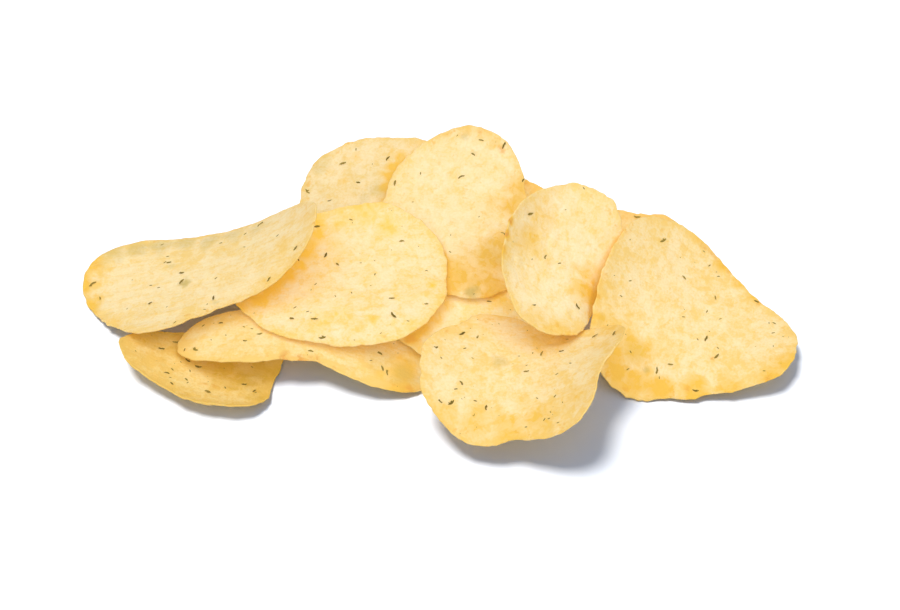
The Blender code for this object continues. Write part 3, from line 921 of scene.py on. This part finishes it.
dress("front_crisp", 19, 22000, pale=(0.97, 0.77, 0.46, 1), gold=(0.93, 0.63, 0.21, 1), rim_gold=0.4,
      gold_and_painted_shade_spots=((9, 11, 4, 0.25), (13, 8, 3, 0.2), (-14, -13, 5, 0.7), (-6, -16, 5, 0.8), (3, -17, 5, 0.8),
             (11, -16, 4, 0.5), (0, -11, 3, 0.4), (27, 4, 3, 0.5), (23, -1, 3, 0.4), (-21, -8, 4, 0.5)),
      stains=((-3.5, 4.5, 2.1, 0.55), (2, 1, 1.4, 0.2), (9, 11, 3, 0.15)))


# Upright oval crisp
# A small oval slice of fried potato propped up between the tall and the large crisp.
# It fried pale, with a browned left rim and a gold blush on its left half; its deep gold spots are partly
# painted shade.

dress("upright_oval_crisp", 20, 5000, pale=(0.98, 0.80, 0.52, 1), gold=(0.94, 0.66, 0.24, 1), mottling=0.6,
      rim_gold=0.3,
      gold_and_painted_shade_spots=((4.5, 16.3, 1.6, 1.0), (0.5, 16.5, 1.6, 1.1), (-4, 16, 1.6, 1.0), (10, 7, 4, 0.5),
             (3, 9, 5, 0.75), (-0.5, 3, 3, 0.35), (-6, -9.5, 3.6, 1.0), (-1, -9, 2.8, 0.7),
             (-20, 4, 4, 0.5), (-22, -3, 4, 0.5)),
      scorches=((4.5, 16.3, 0.9, 0.9), (0.5, 16.6, 0.9, 0.9), (-3.5, 16.2, 0.8, 0.8), (8, 15, 0.8, 0.6)))


# Crisp on top in the middle
# A broad, slightly cupped slice of fried potato over the heap's left half.
# It is painted orange gold for the shade where the curled crisp lies over it, and mottled with gold along its
# far side.

dress("middle_top_crisp", 21, 12000, pale=(0.98, 0.79, 0.50, 1), gold=(0.95, 0.64, 0.20, 1), mottling=0.6,
      amber=(0.98, 0.61, 0.085, 1), rim_gold=0.25,
      gold_and_painted_shade_spots=((-4, 20.5, 2.6, 0.9), (-5.5, 17.5, 2.6, 1.1), (-7.5, 14.5, 2.6, 1.1), (-9.5, 11.5, 2.6, 1.1),
             (-12, 8.5, 2.6, 1.1), (-15, 6, 2.6, 1.1), (-18, 4, 2.6, 1.0), (-21, 1.5, 2.6, 0.8),
             (-24, -1, 2.8, 0.7), (10, 21, 4, 0.6), (14.5, 16, 3.4, 0.7), (-1, 13, 3, 0.4),
             (2, 19.5, 3.5, 0.5), (4.5, -16, 1.5, 1.1), (10, -18, 0.9, 0.5), (-4, -12, 3, 0.35),
             (-8.5, -13.5, 3, 0.4), (14, -19.5, 2.5, 0.4), (23, -6.3, 1.1, 0.9)),
      scorches=((4.5, -16, 0.9, 0.3), (-10, 14, 1.1, 0.25)))


# Curled crisp at the left
# The longest slice of fried potato, curled up at its right end, with fine ridges along it.
# Its far rim is darker and greenish, and its left end browned.

dress("left_curled_crisp", 22, 9000, pale=(0.95, 0.76, 0.46, 1), gold=(0.91, 0.63, 0.23, 1), mottling=0.6,
      ridges=0.05, streaks=0.3, rim_gold=0.4,
      gold_and_painted_shade_spots=((29, -8, 3, 0.3), (23, -9, 2.5, 0.3), (28, 0, 3, 0.35), (34.5, 5, 2.4, 0.35),
             (-29, 10, 2.6, 0.9), (-31, -3, 3, 1.1), (-32, 3.5, 3, 1.1), (-29, 3.2, 2.2, 0.9),
             (-27.5, -2.4, 2, 0.6), (-22, -11.5, 2, 0.3), (3.5, -11.5, 2, 0.3)),
      scorches=((-30, 5, 1.1, 0.35), (-28.5, 10, 1, 0.35)),
      stains=((-2.5, -2.5, 1.5, 1.0), (-7, 5.5, 0.9, 0.45), (7, -13, 0.9, 0.45), (-24, 13.5, 3, 0.55),
              (-18, 14.5, 3.2, 0.6), (-11, 15, 3.2, 0.6), (-4, 14.8, 3.2, 0.55), (3, 13.5, 3, 0.5),
              (10.5, 13.5, 3, 0.45), (18, 12.5, 3, 0.35)))


# Flakes of dried leaf
# Cut and crumbled leaf, from dark olive to nearly black, that clings to the oily skins. The cut leaf lies on
# the flakes that are fused to the crisps, and the crumbled leaf is scattered between them.

LEAF_DARK = (0.075, 0.055, 0.01, 1)
LEAF_LIGHT = (0.40, 0.28, 0.06, 1)
CRUMB_DARK = (0.12, 0.085, 0.015, 1)
CRUMB_LIGHT = (0.5, 0.33, 0.07, 1)
VEINS_PER_METRE = 2500.0
TONES_PER_METRE = 160.0
LEAF_SHINE = 0.1


def herb_material(name, dark, light):
    """Dried leaf: dull, from nearly black to olive, with fine veins of lighter tone."""
    look = bpy.data.materials.new(name)
    look.use_nodes = True
    tree = look.node_tree
    shader = tree.nodes["Principled BSDF"]
    held = node(tree, "ShaderNodeAttribute", attribute_name="tone", attribute_type="GEOMETRY")
    place = node(tree, "ShaderNodeTexCoord").outputs["Object"]
    uneven = unevenness(tree, place, VEINS_PER_METRE, detail=2.0)
    own = unevenness(tree, place, TONES_PER_METRE, detail=0.0)
    amount = plus(tree, times(tree, held.outputs["Fac"], 0.35), times(tree, uneven, 0.4))
    amount = plus(tree, amount, times(tree, share_of(tree, own, 0.35, 0.65), 0.4))
    colour = blend_colour(tree, amount, dark, light)
    tree.links.new(colour, shader.inputs["Base Color"])
    tree.links.new(plus(tree, times(tree, uneven, 0.3), 0.55), shader.inputs["Roughness"])
    shader.inputs["Specular IOR Level"].default_value = LEAF_SHINE
    return look


def herb_piece(name, bm, look):
    """One piece of all the heap's herb of one kind."""
    mesh = bpy.data.meshes.new(name)
    bm.to_mesh(mesh)
    bm.free()
    mesh.materials.clear()
    mesh.materials.append(look)
    piece = bpy.data.objects.new(name, mesh)
    bpy.context.scene.collection.objects.link(piece)
    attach(piece, "root")


herb_piece("herb_leaves", herb_leaves, herb_material("dried_leaf", LEAF_DARK, LEAF_LIGHT))
herb_piece("herb_dust", dust_mesh, herb_material("crushed_leaf", CRUMB_DARK, CRUMB_LIGHT))


# Floor and light
# A plain white floor under soft studio light. One light models the crisps, and one that they don't shade
# stands for the glow through thin slices. A narrow one casts the shadow, and a bluish one keeps it neutral.

FLOOR_HALF = 6.0
FLOOR_COLOUR = (0.84, 0.875, 0.925, 1)
FLOOR_ROUGHNESS = 0.9
FLOOR_SHINE = 0.1
BROAD_FROM = Vector((-0.1, -0.12, 1.0))
BROAD_SOFTNESS = math.radians(110)
BROAD_POWER = 1.25
THROUGH_FROM = Vector((0.05, -0.2, 1.0))
THROUGH_POWER = 1.42
THROUGH_COLOUR = (0.97, 1.0, 0.9)
NARROW_FROM = Vector((-0.26, 0.08, 1.0))
NARROW_SOFTNESS = math.radians(20)
NARROW_POWER = 3.6
NARROW_COLOUR = (1.0, 0.96, 0.91)
FLOOR_FILL_FROM = Vector((0, 0, 1))
FLOOR_FILL_POWER = 0.8
FLOOR_FILL_COLOUR = (0.0, 0.34, 1.0)
FILL = 0.27
FILL_COLOUR = (0.98, 0.99, 0.96, 1)

floor_mesh = bpy.data.meshes.new("floor")
corners = [(-FLOOR_HALF, -FLOOR_HALF, 0), (FLOOR_HALF, -FLOOR_HALF, 0), (FLOOR_HALF, FLOOR_HALF, 0),
           (-FLOOR_HALF, FLOOR_HALF, 0)]
floor_mesh.from_pydata(corners, [], [(0, 1, 2, 3)])
floor = bpy.data.objects.new("floor", floor_mesh)
bpy.context.scene.collection.objects.link(floor)
floor_look = bpy.data.materials.new("white_floor")
floor_look.use_nodes = True
floor_shader = floor_look.node_tree.nodes["Principled BSDF"]
floor_shader.inputs["Base Color"].default_value = FLOOR_COLOUR
floor_shader.inputs["Roughness"].default_value = FLOOR_ROUGHNESS
floor_shader.inputs["Specular IOR Level"].default_value = FLOOR_SHINE
floor_mesh.materials.append(floor_look)
floor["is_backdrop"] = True

lit_floor = bpy.data.collections.new("lit_floor")
lit_floor.objects.link(floor)
lit_heap = bpy.data.collections.new("lit_heap")
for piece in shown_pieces():
    lit_heap.objects.link(piece)


def studio_light(name, toward, softness, power, lit, colour=(1, 1, 1), shaded_by=None):
    """A light from far off, as wide as its softness, that lights only one collection."""
    lamp = bpy.data.objects.new(name, bpy.data.lights.new(name, "SUN"))
    bpy.context.scene.collection.objects.link(lamp)
    lamp.data.energy = power
    lamp.data.angle = softness
    lamp.rotation_euler = toward.to_track_quat("Z", "Y").to_euler()
    lamp.data.color = colour
    lamp.light_linking.receiver_collection = lit
    lamp.light_linking.blocker_collection = shaded_by


studio_light("broad_light", BROAD_FROM, BROAD_SOFTNESS, BROAD_POWER, lit_heap)
studio_light("through_light", THROUGH_FROM, BROAD_SOFTNESS, THROUGH_POWER, lit_heap, THROUGH_COLOUR,
             lit_floor)
studio_light("narrow_light", NARROW_FROM, NARROW_SOFTNESS, NARROW_POWER, lit_floor, NARROW_COLOUR)
studio_light("floor_fill", FLOOR_FILL_FROM, BROAD_SOFTNESS, FLOOR_FILL_POWER, lit_floor, FLOOR_FILL_COLOUR,
             lit_floor)

world = bpy.data.worlds.new("studio")
bpy.context.scene.world = world
world.use_nodes = True
world.node_tree.nodes["Background"].inputs["Color"].default_value = FILL_COLOUR
world.node_tree.nodes["Background"].inputs["Strength"].default_value = FILL

bpy.context.scene.view_settings.view_transform = "Standard"
